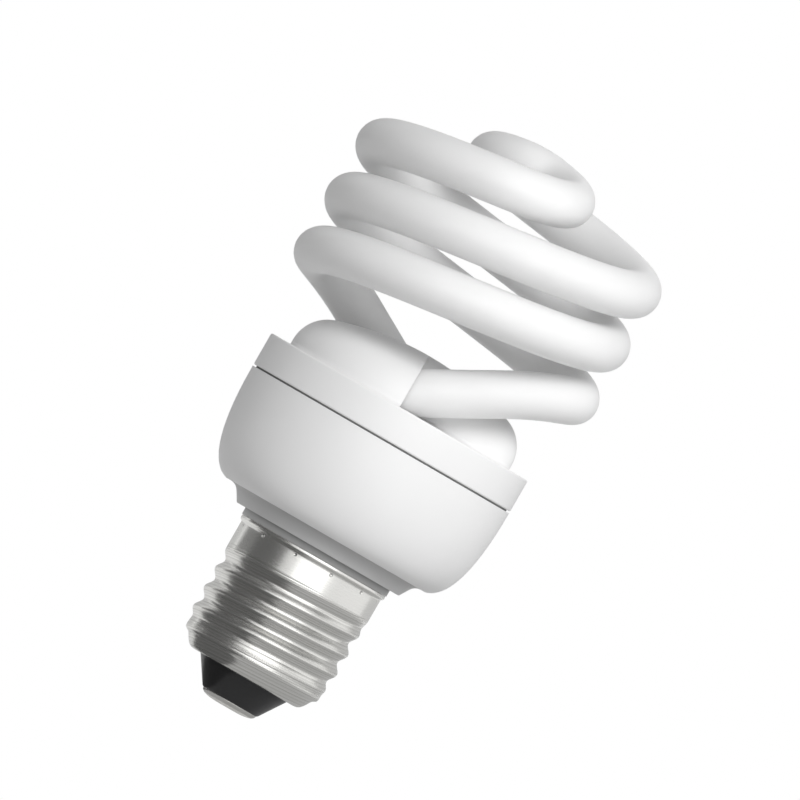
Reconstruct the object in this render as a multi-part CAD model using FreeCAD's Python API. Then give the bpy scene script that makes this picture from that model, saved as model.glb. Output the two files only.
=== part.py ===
"""Spiral energy saving lamp with an Edison screw cap, in millimetres.

The lamp stands on its centre contact: +Z runs up its axis, +X is to the right and -Y to the front.
One glass tube is wound as two strands that cross at the top. Its ends enter two openings of a
moulded cover, which snaps into the bowl that holds the ballast. The bowl's neck carries the cap.
"""
import FreeCAD, Part

import math
import os

V = FreeCAD.Vector
UP = V(0, 0, 1)

# Glass tube
tube_radius = 4.0
coil_radius = 24.31
strand_pitch = 20.34
coil_turn = 435.0
leg_exit_radius = 14.6
leg_slope = 0.543
leg_rise_length = 10.7
tube_end_length = 10.7
bridge_pull_in = 15.8
bridge_pull_out = 12.4
bridge_rise_factor = 1.03
bridge_round = 3.0

# Cover that holds the tube
rim_radius = 24.27
rim_height = 5.87
rim_edge = 0.3
lobe_radius = 20.7
lobe_shoulder = 6.5
dome_height = 9.64
dome_crown_radius = 51.0
recess_gap = 0.8
cover_wall = 1.5
tube_exit_rise = 2.64
tube_hole_clearance = 0.15
sealant_thickness = 0.7
sealant_length = 4.0
seam_width = 0.3
seam_depth = 0.6
skirt_clearance = 0.22
skirt_wall = 1.4
hook_count = 4
hook_width = 5.0
hook_height = 1.3
hook_reach = 0.5
hook_from_skirt = 0.4
hook_play = 0.12
sealant_gap = 0.03

# Housing of the ballast
housing_wall = 1.6
bowl_height = 18.11
bowl_foot_radius = 18.8
bowl_side_pull = 8.19
bowl_foot_pull = 4.55
bowl_foot_angle = 14.0
neck_edge_radius = 15.33
neck_flare_height = 2.65
neck_flare_angle = 58.7
neck_flare_round = 2.0
neck_ring_radius = 13.67
neck_ring_height = 1.17
spigot_length = 4.6
spigot_wall = 1.5
spigot_clearance = 0.08
corner_share = 0.75
rib_count = 6
rib_thickness = 1.4
rib_reach = 1.7
rib_height = 8.5

# Screw cap
thread_pitch = 3.629
thread_crest_radius = 13.13
thread_depth = 1.03
shell_height = 23.14
shell_sheet = 0.3
shell_hole_radius = 8.25
thread_low = 3.4
thread_run_in = 2.6
band_height = 4.94
thread_run_out = 3.6
bead_radius = 12.5
lip_flare = 0.42
shell_columns = 24
rows_per_pitch = 8
thread_crest_rise = 7.97
foot_shape = [(0.0, 0.0), (0.22, 0.0), (0.46, 0.08), (0.63, 0.85), (0.75, 1.75),
              (0.81, 2.2), (0.97, 2.45), (1.01, 2.9)]
punch_count = 12
punch_radius = 0.45
punch_depth = 0.2
punch_from_lip = 1.45
punch_angle = 18.0
insulator_height = 4.63
insulator_foot_radius = 5.13
insulator_wide_radius = 8.19
insulator_lining = 2.3
insulator_lining_wall = 1.2
insulator_lining_gap = 1.6
insulator_core_wall = 2.5
insulator_core_drop = 0.4
insulator_in_shell = 0.07
contact_height = 1.1
contact_radius = 4.96
contact_flat_radius = 1.2
contact_stem_radius = 1.5
contact_bore_radius = 0.5
contact_stem_length = 3.9
solder_height = 0.6

# Ballast
board_thickness = 1.6
board_clearance = 0.45
board_depth = 4.2
hole_clearance = 0.15
lead_radius = 0.3
lead_above_board = 0.8
seat_gap = 0.3
capacitor_radius = 6.25
capacitor_length = 21.0
capacitor_play_share = 0.6
capacitor_to_back = 2.0
transistor_radius = 2.4
transistor_height = 4.8
transistor_pitch = 1.27
transistor_place_1 = (2.5, 13.0)
transistor_place_2 = (9.5, 13.5)
resistor_radius = 1.15
resistor_length = 6.0
base_resistor_place_1 = (-1.6, 14.5)
base_resistor_place_2 = (6.1, 15.5)
emitter_resistor_place_1 = (13.5, 10.8)
emitter_resistor_place_2 = (13.2, 14.0)
start_resistor_place = (-15.5, 6.5)
diac_place = (-12.0, 6.3)
diac_radius = 0.95
diac_length = 4.0
diode_radius = 1.35
diode_length = 5.2
diode_half_reach = 3.8
diode_row_start = (-10.0, -9.0)
diode_row_step = 3.5
resonant_place = (-14.5, -3.0)
resonant_size = (5.0, 11.0, 9.5)
resonant_leg_offset = 3.0
coupling_place = (-3.0, -15.8)
coupling_size = (9.5, 4.5, 8.5)
coupling_leg_offset = 3.75
thermistor_place = (4.4, -12.1)
thermistor_radius = 2.8
thermistor_thickness = 2.4
inductor_place = (11.5, -13.0)
inductor_radius = 3.0
inductor_height = 8.0
fuse_place = (4.2, -4.2)
fuse_radius = 1.6
fuse_length = 9.0
fuse_below_spigot = 2.2
fuse_tail = 2.5
neutral_from_bore = 1.6
neutral_angle = 61.2
neutral_fold_length = 3.4
core_width = 13.0
core_length = 16.0
core_depth = 5.0
core_limb = 2.0
core_centre_limb = 3.8
core_air_gap = 0.05
choke_place = (12.0, 0.0)
bobbin_wall = 0.5
bobbin_flange = 0.8
bobbin_height = 10.8
bobbin_foot = 0.6
ring_radius = 3.4
ring_section = 1.4
ring_place = (-9.0, 13.1)
ring_windings = [(100, 60, 3), (195, 60, 3), (290, 80, 5)]
winding_wire = 0.3
pin_side = 0.8
pin_above_board = 5.4
pin_place_1 = (-11.6, -6.4)
pin_place_2 = (-15.2, -8.0)
filament_lead_offset = 1.5
filament_wire = 0.2
lead_wraps = 2.5
rod_columns = 8

# Levels up the axis, each from the one below it
insulator_foot_z = contact_height
shell_foot_z = insulator_foot_z + insulator_height - insulator_in_shell
shell_lip_z = shell_foot_z + shell_height
neck_edge_z = shell_lip_z + neck_ring_height
bowl_foot_z = neck_edge_z + neck_flare_height
bowl_top_z = bowl_foot_z + bowl_height
rim_low_z = bowl_top_z + seam_width
rim_top_z = rim_low_z + rim_height
dome_top_z = rim_top_z + dome_height
tube_exit_z = rim_top_z + tube_exit_rise
board_low_z = bowl_top_z - board_depth
board_top_z = board_low_z + board_thickness
spigot_low_z = shell_lip_z - spigot_length
fuse_low_z = spigot_low_z - fuse_below_spigot

# Radii and places that follow from the sizes above
shell_inner_radius = thread_crest_radius - shell_sheet
spigot_radius = shell_inner_radius - spigot_clearance
spigot_bore_radius = spigot_radius - spigot_wall
bowl_bore_radius = rim_radius - housing_wall
skirt_radius = bowl_bore_radius - skirt_clearance
recess_half_width = leg_exit_radius - tube_radius - recess_gap
board_radius = bowl_bore_radius - board_clearance
neutral_radius = spigot_bore_radius - neutral_from_bore
capacitor_x = -capacitor_play_share * (spigot_bore_radius - capacitor_radius)
thread_high = shell_height - band_height
tube_end_turn = math.degrees(tube_end_length / leg_exit_radius)

nodes = {}


def at(radius, angle, z=0.0):
    """Point at a radius and an angle in degrees about the lamp's axis."""
    a = math.radians(angle)
    return V(radius * math.cos(a), radius * math.sin(a), z)


def cylinder(radius, low, high, x=0.0, y=0.0):
    """Upright cylinder between two levels."""
    return Part.makeCylinder(radius, high - low, V(x, y, low), UP)


def block(centre, size):
    """Box from its centre and its three sides."""
    corner = centre - V(size.x / 2, size.y / 2, size.z / 2)
    return Part.makeBox(size.x, size.y, size.z, corner)


def turned(solid, angle):
    """Copy of a solid turned about the lamp's axis."""
    copy = solid.copy()
    copy.rotate(V(0, 0, 0), UP, angle)
    return copy


def outline(start, *steps):
    """Closed wire in the XZ plane: a step is a point, or the further poles of a Bezier curve."""
    edges = []
    here = V(start[0], 0, start[1])
    first = here
    for step in steps:
        if isinstance(step, list):
            poles = [here] + [V(r, 0, z) for r, z in step]
            curve = Part.BezierCurve()
            curve.setPoles(poles)
            edges.append(curve.toShape())
            here = poles[-1]
        else:
            point = V(step[0], 0, step[1])
            edges.append(Part.makeLine(here, point))
            here = point
    if here.distanceToPoint(first) > 1e-6:
        edges.append(Part.makeLine(here, first))
    return Part.Wire(edges)


def spun(wire, angle=360.0):
    """Solid of revolution of a closed outline about the lamp's axis."""
    return Part.Face(wire).revolve(V(0, 0, 0), UP, angle)


def swept(spine, radius):
    """Round rod along a wire, which keeps its section upright to the path."""
    edge = spine.Edges[0]
    start = edge.valueAt(edge.FirstParameter)
    along = edge.tangentAt(edge.FirstParameter)
    section = Part.Wire(Part.makeCircle(radius, start, along))
    sweep = Part.BRepOffsetAPI.MakePipeShell(spine)
    sweep.setFrenetMode(False)
    sweep.add(section)
    sweep.build()
    sweep.makeSolid()
    return sweep.shape()


def smooth_rod(points, radius):
    """Round rod along a smooth curve through the points: a surface of rings, one round each pole of
    the curve, that keep from twisting. Poles stand off a bend, so they are stretched across it."""
    curve = Part.BSplineCurve()
    curve.interpolate(points)
    knots = curve.getKnots()
    counts = curve.getMultiplicities()
    flat = [knot for knot, count in zip(knots, counts) for _ in range(count)]
    poles = curve.getPoles()
    ways = [curve.tangent(sum(flat[i + 1:i + 4]) / 3)[0] for i in range(len(poles))]
    reach = radius * 3 / (2 + math.cos(2 * math.pi / rod_columns))
    side = ways[0].cross(UP if abs(ways[0].z) < 0.9 else V(1, 0, 0))
    rings = []
    for i, pole in enumerate(poles):
        side = (side - ways[i] * side.dot(ways[i])).normalize()
        over = side.cross(ways[i])
        turn = ways[min(i + 1, len(ways) - 1)] - ways[max(i - 1, 0)]
        ring = []
        for k in range(rod_columns):
            a = 2 * math.pi * k / rod_columns
            out = side * (reach * math.cos(a)) + over * (reach * math.sin(a))
            ring.append(pole + out + turn * (out.dot(turn) / 24))
        rings.append(ring)
    surface = Part.BSplineSurface()
    surface.buildFromPolesMultsKnots(rings, counts, [1] * (rod_columns + 1), knots,
                                     list(range(rod_columns + 1)), False, True, 3, 3)
    face = surface.toShape()
    ends = [e for e in face.Edges if e.Length < 2.1 * math.pi * radius and e.isClosed()]
    body = Part.Shell([face] + [Part.Face(Part.Wire(e)) for e in ends])
    body.sewShape()
    solid = Part.Solid(body)
    if solid.Volume < 0:
        solid.reverse()
    return solid


def bent_rod(points, radius, bend):
    """Round rod of straight runs, joined by arcs of one bend radius."""
    edges = []
    here = points[0]
    for before, corner, after in zip(points, points[1:], points[2:]):
        into = (corner - before).normalize()
        out = (after - corner).normalize()
        half = into.getAngle(out) / 2
        back = bend * math.tan(half)
        first = corner - into * back
        last = corner + out * back
        inward = (out - into).normalize()
        middle = corner + inward * (bend / math.cos(half) - bend)
        edges.append(Part.makeLine(here, first))
        edges.append(Part.Arc(first, middle, last).toShape())
        here = last
    edges.append(Part.makeLine(here, points[-1]))
    return swept(Part.Wire(edges), radius)


# Path of the glass tube, as one strand from its end inside the cover to the top of the lamp

def leg_path(steps=120):
    """The leg: a quarter ellipse in plan, whose rise eases from the leg's to the coil's."""
    coil_rise = strand_pitch / (2 * math.pi * coil_radius)
    plan = []
    for i in range(steps + 1):
        t = math.radians(90.0 * i / steps)
        plan.append(V(coil_radius * math.sin(t), -leg_exit_radius * math.cos(t), 0))
    runs = [(b - a).Length for a, b in zip(plan, plan[1:])]
    whole = sum(runs)
    points = [plan[0] + UP * tube_exit_z]
    travelled = 0.0
    height = tube_exit_z
    for place, run in zip(plan[1:], runs):
        middle = travelled + run / 2
        share = max(0.0, (middle - leg_rise_length) / (whole - leg_rise_length))
        ease = share * share * (3 - 2 * share)
        height += run * (leg_slope + (coil_rise - leg_slope) * ease)
        travelled += run
        points.append(place + UP * height)
    return points


def inner_end_path(steps=6):
    """The stretch inside the cover, which goes on down and round from the exit."""
    points = []
    for i in range(steps, 0, -1):
        turn = tube_end_turn * i / steps
        drop = leg_slope * leg_exit_radius * math.radians(turn)
        points.append(at(leg_exit_radius, -90.0 - turn, tube_exit_z - drop))
    return points


def coil_path(low, step=15.0):
    """The helix of one strand, from the top of its leg."""
    count = int(round(coil_turn / step))
    points = []
    for i in range(1, count + 1):
        angle = coil_turn * i / count
        points.append(at(coil_radius, angle, low + strand_pitch * angle / 360))
    return points


def bridge_path(low, steps=60):
    """The curl from the end of a coil to the lamp's axis: a cubic curve in plan, level at the top."""
    start = at(coil_radius, coil_turn)
    ahead = at(1.0, coil_turn + 90)
    pull = start + ahead * bridge_pull_in
    turn_back = V(-bridge_pull_out, 0, 0)
    plan = []
    for i in range(steps + 1):
        t = i / steps
        u = 1 - t
        plan.append(start * u**3 + pull * (3 * u * u * t) + turn_back * (3 * u * t * t))
    runs = [(b - a).Length for a, b in zip(plan, plan[1:])]
    whole = sum(runs)
    rise = bridge_rise_factor * strand_pitch / (2 * math.pi * coil_radius)
    points = []
    left = whole
    height = low
    for place, run in zip(plan[1:], runs):
        height += run * rise * min(1.0, (left - run / 2) / bridge_round)
        left -= run
        points.append(place + UP * height)
    return points


def strand_path():
    """Points along one strand, from inside the cover to the axis at the top."""
    leg = leg_path()
    coil = coil_path(leg[-1].z)
    bridge = bridge_path(coil[-1].z)
    return inner_end_path() + leg[0::10] + coil + bridge[5::6]


def inside_points(turn_from, turn_to, count=6):
    """Points along the tube inside the cover, between two angles from the exit."""
    points = []
    for i in range(count + 1):
        turn = turn_to + (turn_from - turn_to) * i / count
        drop = leg_slope * leg_exit_radius * math.radians(turn)
        points.append(at(leg_exit_radius, -90.0 - turn, tube_exit_z - drop))
    return points


def make_tube():
    """Both strands as one tube, sealed at its ends inside the cover: the second strand is the first
    one turned half round, and goes on from where it ends at the top."""
    strand = strand_path()
    back = [V(-p.x, -p.y, p.z) for p in strand[-2::-1]]
    return smooth_rod(strand + back, tube_radius)


# Cover

def quarter_dome(radius, shoulder, low, top, squash=1.0):
    """Quarter of a crowned drum over +X +Y, squashed in Y."""
    crown_centre = top - dome_crown_radius
    inner = radius - shoulder
    reach = dome_crown_radius - shoulder
    shoulder_z = crown_centre + math.sqrt(reach**2 - inner**2)
    lean = math.atan2(inner, shoulder_z - crown_centre)
    mid_lean = (lean + math.pi / 2) / 2
    apex = V(0, 0, top)
    crown_mid = V(dome_crown_radius * math.sin(lean / 2), 0, dome_crown_radius * math.cos(lean / 2))
    crown_edge = V(dome_crown_radius * math.sin(lean), 0, dome_crown_radius * math.cos(lean))
    bend_mid = V(inner + shoulder * math.sin(mid_lean), 0, shoulder_z + shoulder * math.cos(mid_lean))
    wall_top = V(radius, 0, shoulder_z)
    lift = UP * crown_centre
    edges = [
        Part.makeLine(V(0, 0, low), V(radius, 0, low)),
        Part.makeLine(V(radius, 0, low), wall_top),
        Part.Arc(wall_top, bend_mid, crown_edge + lift).toShape(),
        Part.Arc(crown_edge + lift, crown_mid + lift, apex).toShape(),
        Part.makeLine(apex, V(0, 0, low)),
    ]
    solid = spun(Part.Wire(edges), 90)
    if squash < 1:
        matrix = FreeCAD.Matrix()
        matrix.scale(1, squash, 1)
        solid = solid.transformGeometry(matrix)
    return solid


def lobes(inset, low):
    """Solid of the cover's two lobes, or of their hollow: round quarters, whose flat end faces the
    tube leaves, and recessed quarters in front of them that give the tube room."""
    radius = lobe_radius - inset
    shoulder = lobe_shoulder - inset
    top = dome_top_z - inset
    squash = (recess_half_width - inset) / radius
    full = quarter_dome(radius, shoulder, low, top)
    slim = quarter_dome(radius, shoulder, low, top, squash)
    half = [full, slim.mirror(V(0, 0, 0), V(0, 1, 0))]
    if inset:
        strip = Part.makeBox(inset, radius * 2, (top - low) * 2, V(0, -radius, low - 1))
        half = [full.cut(strip), slim.common(strip), half[1]]
    pieces = half + [turned(solid, 180) for solid in half]
    return pieces[0].fuse(pieces[1:])


def hook_prism(width, low, high, reach, angle):
    """Wedge on the skirt of the cover, seen along the rim as a ramp under a flat step."""
    inner = skirt_radius - skirt_wall / 2
    outer = skirt_radius + reach
    corners = [V(inner, 0, low), V(skirt_radius, 0, low), V(outer, 0, high - reach / 2),
               V(outer, 0, high), V(inner, 0, high), V(inner, 0, low)]
    face = Part.Face(Part.makePolygon(corners))
    solid = face.extrude(V(0, width, 0))
    solid.translate(V(0, -width / 2, 0))
    return turned(solid, angle)


def hook_angles():
    return [45 + 360.0 * k / hook_count for k in range(hook_count)]


def make_cover():
    """One moulding: rim, lobes with their exit faces, and a skirt with snap hooks."""
    rim = cylinder(rim_radius, rim_low_z, rim_top_z)
    edges = [e for e in rim.Edges if isinstance(e.Curve, Part.Circle)]
    rim = rim.makeFillet(rim_edge, edges)
    collar = cylinder(rim_radius - seam_depth, bowl_top_z, rim_low_z + rim_edge)
    skirt = cylinder(skirt_radius, board_top_z, rim_low_z + rim_edge)
    body = rim.fuse([collar, skirt, lobes(0, rim_top_z - cover_wall / 2)])
    cavity = cylinder(skirt_radius - skirt_wall, board_top_z - 1, rim_top_z - cover_wall)
    cavity = cavity.fuse(lobes(cover_wall, rim_top_z - 2 * cover_wall))
    body = body.cut(cavity)
    low = board_top_z + hook_from_skirt
    hooks = [hook_prism(hook_width, low, low + hook_height, hook_reach, a) for a in hook_angles()]
    body = body.fuse(hooks)
    wall_turn = math.degrees(cover_wall / leg_exit_radius)
    outside = [p for p in leg_path()[0::8] if p.x <= 3 * tube_radius]
    hole = smooth_rod(inside_points(0, wall_turn * 1.5)[:-1] + outside, tube_radius + tube_hole_clearance)
    pocket_radius = tube_radius + sealant_thickness + tube_hole_clearance / 2
    pocket = smooth_rod(inside_points(wall_turn, tube_end_turn * 1.3), pocket_radius)
    for angle in (0, 180):
        body = body.cut([turned(hole, angle), turned(pocket, angle)])
    return body.Solids[0]


def make_sealant():
    """Collar of sealing compound round the tube, behind the cover's exit wall."""
    start = math.degrees((cover_wall + 0.1) / leg_exit_radius)
    end = start + math.degrees(sealant_length / leg_exit_radius)
    points = inside_points(start, end)
    outer = smooth_rod(points, tube_radius + sealant_thickness)
    longer = inside_points(start - 2, end + 2)
    inner = smooth_rod(longer, tube_radius + sealant_gap)
    return outer.cut(inner).Solids[0]


# Housing

def bowl_curve(inset):
    """Poles of the bowl's side from its foot to its top, at a distance inside the outer face."""
    angle = math.radians(bowl_foot_angle)
    corner = (bowl_foot_radius + bowl_foot_pull * math.cos(angle) - inset * corner_share,
              bowl_foot_z + bowl_foot_pull * math.sin(angle) + inset * corner_share)
    radius = rim_radius - inset
    return [corner, (radius, bowl_top_z - bowl_side_pull), (radius, bowl_top_z)]


def make_housing():
    """Bowl, flared neck and the spigot that plugs into the cap, with ribs that carry the board."""
    edge = (neck_edge_radius, neck_edge_z)
    foot = (bowl_foot_radius, bowl_foot_z)
    slope = math.radians(neck_flare_angle)
    corner = neck_edge_radius + neck_flare_height / math.tan(slope)
    back = neck_flare_round * math.tan(slope / 2)
    flare_end = (corner - back * math.cos(slope), bowl_foot_z - back * math.sin(slope))
    outer = spun(outline(
        (0, spigot_low_z), (spigot_radius, spigot_low_z), (spigot_radius, shell_lip_z),
        (neck_ring_radius, shell_lip_z), (neck_ring_radius, neck_edge_z), edge, flare_end,
        [(corner, bowl_foot_z), (corner + back, bowl_foot_z)], foot, bowl_curve(0), (0, bowl_top_z)))
    floor_z = bowl_foot_z + housing_wall
    bend = 2 * housing_wall
    cavity = spun(outline(
        (0, spigot_low_z - 1), (spigot_bore_radius, spigot_low_z - 1), (spigot_bore_radius, floor_z - bend),
        [(spigot_bore_radius, floor_z), (spigot_bore_radius + bend, floor_z)], (bowl_foot_radius, floor_z),
        bowl_curve(housing_wall), (bowl_bore_radius, bowl_top_z + 1), (0, bowl_top_z + 1)))
    ribs = []
    reach = rim_radius - board_radius + rib_reach
    for k in range(rib_count):
        centre = V(board_radius - rib_reach + reach / 2, 0, board_low_z - rib_height / 2)
        rib = turned(block(centre, V(reach, rib_thickness, rib_height)), 30 + 360.0 * k / rib_count)
        ribs.append(rib.common(outer))
    body = outer.cut(cavity).fuse(ribs)
    low = board_top_z + hook_from_skirt - hook_play
    for angle in hook_angles():
        slot = hook_prism(hook_width + 2 * hook_play, low, low + hook_height + 2 * hook_play,
                          hook_reach + skirt_clearance + hook_play, angle)
        body = body.cut(slot)
    groove_depth = 2 * lead_radius + 0.15
    groove = block(V(spigot_radius, 0, spigot_low_z + neutral_fold_length / 2),
                   V(2 * groove_depth, 2 * lead_radius + 0.2, neutral_fold_length + 1))
    return body.cut(turned(groove, neutral_angle)).Solids[0]


# Screw cap

def shell_outline(angle):
    """Outer face of the shell as radii and heights, from the hole in its foot to its lip. The
    round thread is a cosine of the height less the turn, and fades out at both ends."""
    points = [(shell_hole_radius + share * (bead_radius - shell_hole_radius), rise)
              for share, rise in foot_shape]
    rows = int(round((thread_high - thread_low) / thread_pitch * rows_per_pitch))
    for i in range(rows + 1):
        rise = thread_low + (thread_high - thread_low) * i / rows
        run_in = min(1.0, (rise - thread_low) / thread_run_in)
        run_out = min(1.0, (thread_high - rise) / thread_run_out)
        ease_in = run_in * run_in * (3 - 2 * run_in)
        ease_out = run_out * run_out * (3 - 2 * run_out)
        crest = bead_radius + (thread_crest_radius - bead_radius) * ease_in
        turn = (rise - thread_crest_rise) / thread_pitch - angle / 360.0
        wave = (1 - math.cos(2 * math.pi * turn)) / 2
        points.append((crest - thread_depth * wave * ease_in * ease_out, rise))
    points += [(thread_crest_radius, thread_high + 1.0), (thread_crest_radius, shell_height - 1.2),
               (thread_crest_radius, shell_height - 0.9),
               (thread_crest_radius + lip_flare, shell_height - 0.75),
               (thread_crest_radius + lip_flare, shell_height - 0.4),
               (thread_crest_radius + lip_flare, shell_height)]
    return points


def inner_side(points):
    """The same outline moved inwards by the sheet's thickness."""
    moved = []
    last = len(points) - 1
    for i, (r, z) in enumerate(points):
        r0, z0 = points[max(0, i - 1)]
        r1, z1 = points[min(last, i + 1)]
        length = math.hypot(r1 - r0, z1 - z0)
        moved.append((r - shell_sheet * (z1 - z0) / length, z + shell_sheet * (r1 - r0) / length))
    return moved


def make_shell():
    """Rolled thread, band and lip of thin sheet: one surface closed both ways, worked out from the
    formula of its outer and inner faces."""
    shrink = (2 + math.cos(2 * math.pi / shell_columns)) / 3
    poles = []
    for k in range(shell_columns):
        angle = 360.0 * k / shell_columns
        outer = shell_outline(angle)
        loop = outer + inner_side(outer)[::-1]
        poles.append([at(r / shrink, angle, shell_foot_z + z) for r, z in loop])
    rows = len(poles[0])
    side = rows // 2
    row_cuts = [0, 8, side - 8, side - 1, side + 1, side + 8, rows - 8, rows - 1, rows]
    surface = Part.BSplineSurface()
    surface.buildFromPolesMultsKnots(
        poles, [1] * (shell_columns + 1), [1] * (rows + 1),
        list(range(shell_columns + 1)), list(range(rows + 1)), True, True, 3, 3)
    faces = []
    for first, last in zip(row_cuts, row_cuts[1:]):
        for quarter in range(4):
            patch = surface.copy()
            start = quarter * shell_columns // 4
            patch.segment(start, start + shell_columns // 4, first, last)
            faces.append(patch.toShape())
    body = Part.Shell(faces)
    body.sewShape()
    body = Part.Solid(body)
    if body.Volume < 0:
        body.reverse()
    ball = (punch_radius**2 + punch_depth**2) / (2 * punch_depth)
    centre_radius = thread_crest_radius + ball - punch_depth
    marks = []
    for k in range(punch_count):
        place = at(centre_radius, punch_angle - 90 + 360.0 * k / punch_count, shell_lip_z - punch_from_lip)
        marks.append(Part.makeSphere(ball, place))
    return body.cut(marks).Solids[0]


def make_insulator():
    """Glass cone under the cap, which fills the foot of the shell and holds the contact."""
    foot = insulator_foot_z
    wide = shell_foot_z + shell_sheet + 0.05
    top = wide + insulator_lining
    lining = bead_radius - shell_sheet - insulator_lining_gap
    core = contact_stem_radius + insulator_core_wall
    core_top = foot + contact_stem_length - insulator_core_drop
    return spun(outline(
        (contact_stem_radius, foot), (insulator_foot_radius - 0.25, foot),
        [(insulator_foot_radius, foot), (insulator_foot_radius + 0.2, foot + 0.3)],
        (insulator_wide_radius, foot + insulator_height), (insulator_wide_radius, wide),
        (lining - 1.5, wide), [(lining - 0.6, wide), (lining - 0.3, wide + 0.8)],
        (lining, top), (lining - insulator_lining_wall, top), (core, core_top),
        (contact_stem_radius, core_top)))


def make_contact():
    """Domed brass contact with its hollow rivet, closed at the tip by solder."""
    stem_top = contact_height + contact_stem_length
    return spun(outline(
        (0, 0), (contact_flat_radius, 0),
        [(contact_radius - 1.05, 0), (contact_radius - 0.06, contact_height * 0.36),
         (contact_radius, contact_height)],
        (contact_stem_radius, contact_height), (contact_stem_radius, stem_top),
        (contact_bore_radius, stem_top), (contact_bore_radius, solder_height), (0, solder_height)))


# Ballast under the board; each piece notes where its legs pass through the board

legs = []


def leg(x, y, low):
    """Wire leg from a level up through the board."""
    legs.append((x, y, lead_radius))
    return cylinder(lead_radius, low, board_top_z + lead_above_board, x, y)


def board_seat():
    return board_low_z - seat_gap


def film_capacitor(place, size, leg_x, leg_y):
    """Moulded box with rounded edges on two legs."""
    x, y = place
    width, depth, height = size
    top = board_seat()
    body = block(V(x, y, top - height / 2), V(width, depth, height))
    body = body.makeFillet(min(width, depth) / 5, body.Edges)
    return body.fuse([leg(x + leg_x, y + leg_y, top - 1), leg(x - leg_x, y - leg_y, top - 1)]).Solids[0]


def storage_capacitor():
    """Aluminium can whose rubber end faces the board and whose closed end reaches into the neck."""
    x, y = capacitor_x, capacitor_to_back
    top = board_seat()
    r = capacitor_radius
    low = top - capacitor_length
    groove = top - 0.3 * r
    can = spun(outline(
        (0, low), (r - 0.8, low), [(r, low), (r, low + 0.8)], (r, groove - 0.8),
        [(r, groove - 0.4), (r - 0.5, groove - 0.4), (r - 0.5, groove), (r - 0.5, groove + 0.4),
         (r, groove + 0.4), (r, groove + 0.8)],
        (r, top), (r - 0.9, top), (r - 0.9, top - 0.4), (0, top - 0.4)))
    vent = block(V(0, 0, low), V(1.2 * r, 0.5, 0.5))
    can = can.cut([vent, turned(vent, 90)])
    can.translate(V(x, y, 0))
    return can.fuse([leg(x, y + 2.5, top - 2), leg(x, y - 2.5, top - 2)]).Solids[0]


def standing_resistor(place, away, radius=resistor_radius, length=resistor_length):
    """Body on end, with one leg straight up and the other bent back up beside it."""
    x, y = place
    top = board_seat() - 1.0
    low = top - length
    band = length / 5
    body = cylinder(radius, low, low + band, x, y)
    body = body.fuse([cylinder(radius * 0.86, low, top, x, y), cylinder(radius, top - band, top, x, y)])
    beside = V(x, y, 0) + at(radius + 1.2, away)
    bottom = low - 1.0
    back = bent_rod([V(x, y, low + 0.2), V(x, y, bottom), V(beside.x, beside.y, bottom),
                     V(beside.x, beside.y, board_top_z + lead_above_board)], lead_radius, 0.5)
    legs.append((beside.x, beside.y, lead_radius))
    return body.fuse([leg(x, y, top - 0.2), back]).Solids[0]


def lying_diode(index):
    """Moulded body along Y under the board, with both legs bent up."""
    x = diode_row_start[0] + diode_row_step * index
    y = diode_row_start[1]
    z = board_seat() - diode_radius
    body = Part.makeCylinder(diode_radius, diode_length, V(x, y - diode_length / 2, z), V(0, 1, 0))
    body = body.makeChamfer(0.25, [e for e in body.Edges if isinstance(e.Curve, Part.Circle)])
    pieces = []
    for side in (-1, 1):
        leg_y = y + side * diode_half_reach
        run = [V(x, y + side * (diode_length / 2 - 0.2), z), V(x, leg_y, z),
               V(x, leg_y, board_top_z + lead_above_board)]
        pieces.append(bent_rod(run, lead_radius, 0.6))
        legs.append((x, leg_y, lead_radius))
    return body.fuse(pieces).Solids[0]


def transistor(place):
    """Moulded D-shaped body on three legs in a row."""
    x, y = place
    top = board_seat() - 1.5
    body = cylinder(transistor_radius, top - transistor_height, top, x, y)
    flat = block(V(x, y - transistor_radius, top - transistor_height / 2),
                 V(3 * transistor_radius, transistor_radius, 2 * transistor_height))
    body = body.cut(flat)
    row = [leg(x + step * transistor_pitch, y, top - 0.5) for step in (-1, 0, 1)]
    return body.fuse(row).Solids[0]


def thermistor():
    """Coated disc on edge, facing the front."""
    x, y = thermistor_place
    thick = thermistor_thickness
    middle = board_seat() - 0.2 - thermistor_radius
    disc = Part.makeCylinder(thermistor_radius, thick, V(x, y - thick / 2, middle), V(0, 1, 0))
    disc = disc.makeFillet(thick * 0.35, [e for e in disc.Edges if isinstance(e.Curve, Part.Circle)])
    half = thermistor_radius * 0.7
    return disc.fuse([leg(x - half, y, middle), leg(x + half, y, middle)]).Solids[0]


def drum_core():
    """Ferrite bobbin with two flanges, glued under the board."""
    x, y = inductor_place
    top = board_seat()
    low = top - inductor_height
    flange = inductor_height / 7
    core = cylinder(inductor_radius * 0.45, low, top, x, y)
    return core.fuse([cylinder(inductor_radius, top - flange, top, x, y),
                      cylinder(inductor_radius, low, low + flange, x, y)]).Solids[0]


def drum_winding():
    """Copper between the drum's flanges, with its ends led up past the top flange."""
    x, y = inductor_place
    top = board_seat()
    low = top - inductor_height
    middle = (low + top) / 2
    flange = inductor_height / 7
    sleeve = cylinder(inductor_radius * 0.85, low + flange + 0.05, top - flange - 0.05, x, y)
    sleeve = sleeve.cut(cylinder(inductor_radius * 0.45 + 0.05, low, top, x, y))
    ends = []
    for side in (-1, 1):
        leg_x = x + side * (inductor_radius + 2 * winding_wire)
        ends.append(bent_rod([V(x + side * inductor_radius * 0.7, y, middle), V(leg_x, y, middle),
                              V(leg_x, y, board_top_z + lead_above_board)], winding_wire, 0.5))
        legs.append((leg_x, y, winding_wire))
    return sleeve.fuse(ends).Solids[0]


def choke_centre():
    x, y = choke_place
    return V(x, y, board_seat() - bobbin_height / 2 - bobbin_foot)


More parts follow.
